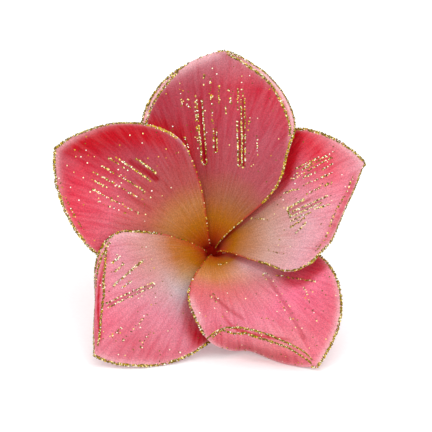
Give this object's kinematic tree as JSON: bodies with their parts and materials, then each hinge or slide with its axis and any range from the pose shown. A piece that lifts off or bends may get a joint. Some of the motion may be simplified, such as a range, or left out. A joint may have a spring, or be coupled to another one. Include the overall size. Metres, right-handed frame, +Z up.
{
  "type": "frangipani flower",
  "caption": "Open frangipani blossom: broad petals overlapping in a pinwheel round an orange throat, on a narrow tube with a calyx and a short cut stalk; gold glitter on the petal edges.",
  "frame": {"origin": "on the resting surface, under the middle of the flower's bounding box", "axes": "+Z up from the surface; the flower faces -Y and upwards; +X towards the flower's left as it looks out, the viewer's right, across its widest spread"},
  "size_m": [0.076, 0.054, 0.0621],
  "materials": {
    "petal": "satin waxy petal, pink shading to orange at the throat",
    "tube": "satin petal skin, cream to orange",
    "calyx": "matt green plant skin",
    "stalk": "matt green plant skin with a pale cut end",
    "anther": "powdery pale yellow",
    "pistil": "matt pale green",
    "gold_glitter": "bright loose metal flakes"
  },
  "bodies": {
    "root": {"petal_top": "petal", "petal_upper_right": "petal", "petal_lower_right": "petal", "petal_lower_left": "petal", "petal_upper_left": "petal", "corolla_tube": "tube", "calyx": "calyx", "pedicel": "stalk", "pistil": "pistil", "stamen_1": "anther", "stamen_2": "anther", "stamen_3": "anther", "stamen_4": "anther", "stamen_5": "anther"}
  },
  "joints": []
}
